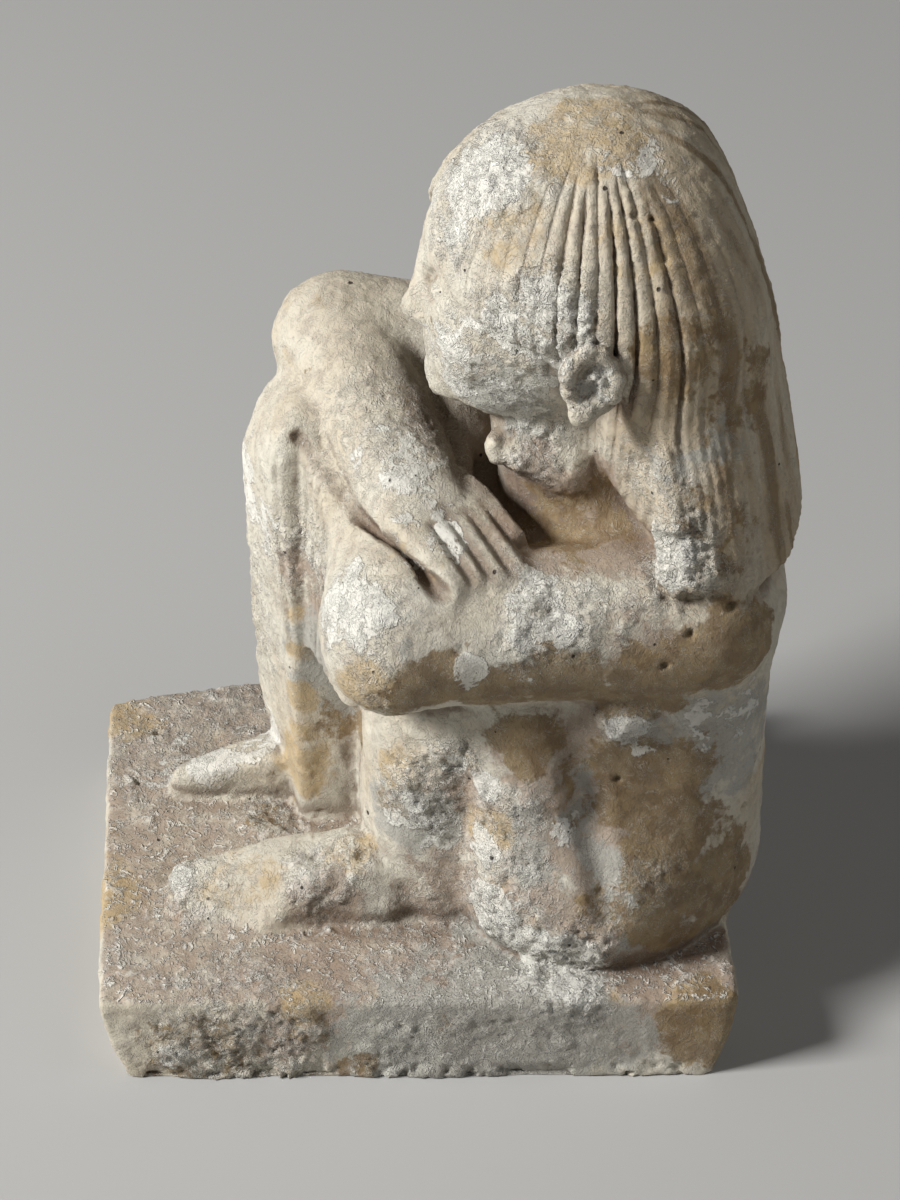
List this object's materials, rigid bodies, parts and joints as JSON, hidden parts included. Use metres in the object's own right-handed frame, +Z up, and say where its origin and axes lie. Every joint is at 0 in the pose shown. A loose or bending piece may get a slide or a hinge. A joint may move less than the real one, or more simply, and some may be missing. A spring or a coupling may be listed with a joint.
{
  "type": "block statue",
  "caption": "Block statue of a long-haired figure that crouches with crossed arms on its drawn-up knees, on a plain rectangular base.",
  "frame": {"origin": "middle of the flat underside of the base", "axes": "+Z up, -Y is where the figure faces, +X is the figure's left side"},
  "size_m": [0.0781, 0.0967, 0.1294],
  "materials": {
    "stone": "chalky, worn, stained ochre and brown"
  },
  "bodies": {
    "root": {"block_statue": "stone"}
  },
  "joints": []
}
